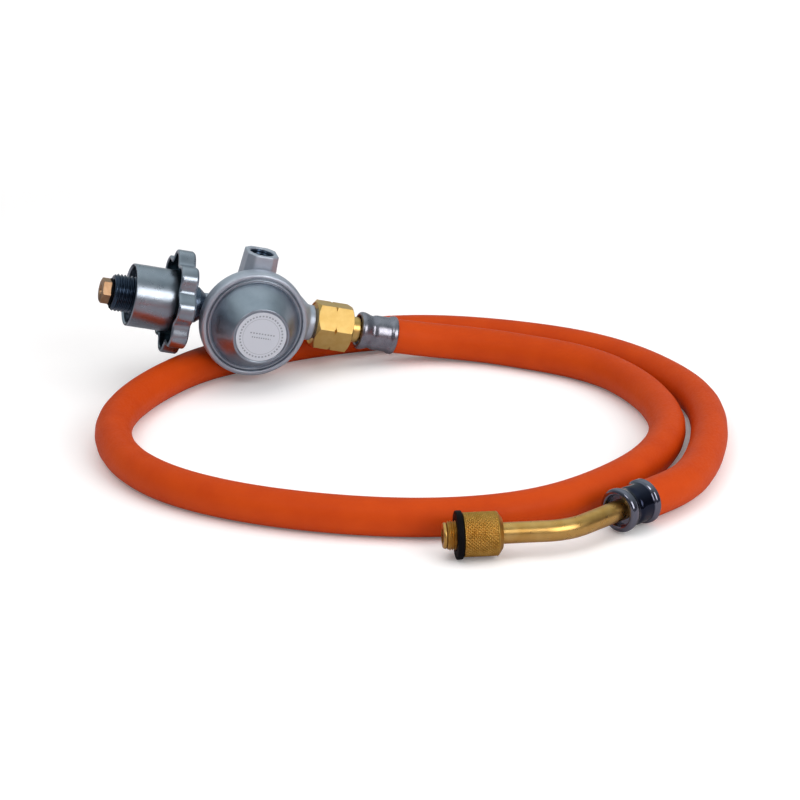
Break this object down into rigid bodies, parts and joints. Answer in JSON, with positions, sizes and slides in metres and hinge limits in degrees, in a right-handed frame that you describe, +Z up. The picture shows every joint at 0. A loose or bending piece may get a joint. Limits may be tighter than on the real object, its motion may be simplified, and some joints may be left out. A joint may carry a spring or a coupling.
{
  "type": "propane regulator hose",
  "caption": "Low-pressure propane regulator with a handwheel cylinder connection, an orange gas hose and a bent brass end fitting with a knurled screw.",
  "frame": {"origin": "on the surface that the hose lies on, at the point of the hose's flat underside below the regulator", "axes": "+Z up; +X along the regulator from the cylinder connection to the hose, seen from above; -Y out of the regulator's round bonnet"},
  "size_m": [0.2577, 0.2547, 0.0581],
  "materials": {
    "die_cast_zinc": "satin silver-grey lacquer on die-cast zinc",
    "label_white": "plain satin white label film",
    "steel": "bright drawn steel",
    "brass": "bright machined brass",
    "brass_tube": "drawn brass tube, slightly dulled",
    "aged_brass": "turned and knurled brass, darker in the grooves",
    "black_oxide": "glossy black oxide on steel",
    "black_plastic": "black moulded plastic",
    "ferrule_steel": "dark crimped steel",
    "ferrule_chrome": "dark bright plating on crimped steel",
    "orange_rubber": "matt orange gas hose rubber",
    "seal_rubber": "black seal rubber"
  },
  "bodies": {
    "regulator": {"body_casting": "die_cast_zinc", "bonnet": "die_cast_zinc", "bonnet_cap": "die_cast_zinc", "label_disc": "label_white", "adjusting_plug": "black_plastic", "main_spring": "steel", "diaphragm": "seal_rubber", "lever_pin": "steel", "seat_nozzle": "brass", "port_plug": "steel", "port_seal": "seal_rubber", "inlet_stem": "die_cast_zinc", "inlet_filter": "aged_brass", "stem_seal": "seal_rubber", "inlet_seal": "seal_rubber", "brass_tip": "aged_brass", "outlet_gasket": "seal_rubber", "hose_tail": "brass", "outlet_ferrule": "ferrule_steel", "hose": "orange_rubber", "end_ferrule": "ferrule_chrome", "elbow_tube": "brass_tube"},
    "wheel": {"handwheel": "die_cast_zinc", "threaded_spigot": "black_oxide"},
    "nut": {"union_nut": "brass"},
    "screw": {"knurled_screw": "aged_brass", "end_washer": "seal_rubber"},
    "stack": {"diaphragm_plate": "steel", "stem_nut": "brass"},
    "rocker": {"lever": "brass"},
    "piston": {"valve_piston": "brass", "valve_pad": "seal_rubber"}
  },
  "joints": [
    {"name": "handwheel_spin", "type": "hinge", "parent": "regulator", "child": "wheel", "pos_m": [-0.03888, -0.006, 0.03751], "axis": [-0.972, 0, 0.2351], "continuous": true},
    {"name": "union_nut_spin", "type": "hinge", "parent": "regulator", "child": "nut", "pos_m": [0.03888, -0.006, 0.01869], "axis": [0.972, 0, -0.2351], "continuous": true},
    {"name": "end_screw_spin", "type": "hinge", "parent": "regulator", "child": "screw", "pos_m": [0.04377, -0.22624, 0.0092], "axis": [-0.9917, 0.1288, 0], "continuous": true},
    {"name": "diaphragm_travel", "type": "slide", "parent": "regulator", "child": "stack", "axis": [-0.0082, -0.9994, -0.0339], "range_m": [0, 0.002], "stiffness_N_per_m": 1500, "springref_m": -0.004, "deforming": ["diaphragm", "main_spring"]},
    {"name": "lever_turn", "type": "hinge", "parent": "regulator", "child": "rocker", "pos_m": [0.0087, -0.012, 0.02578], "axis": [0.235, -0.0349, 0.9714], "range_deg": [0, 12.74]},
    {"name": "piston_travel", "type": "slide", "parent": "regulator", "child": "piston", "axis": [-0.972, 0, 0.2351], "range_m": [0, 0.00134]}
  ],
  "couplings": [
    {"joint": "lever_turn", "follows": "diaphragm_travel", "rad_per_m": 111.11},
    {"joint": "piston_travel", "follows": "diaphragm_travel", "ratio": 0.66667}
  ]
}
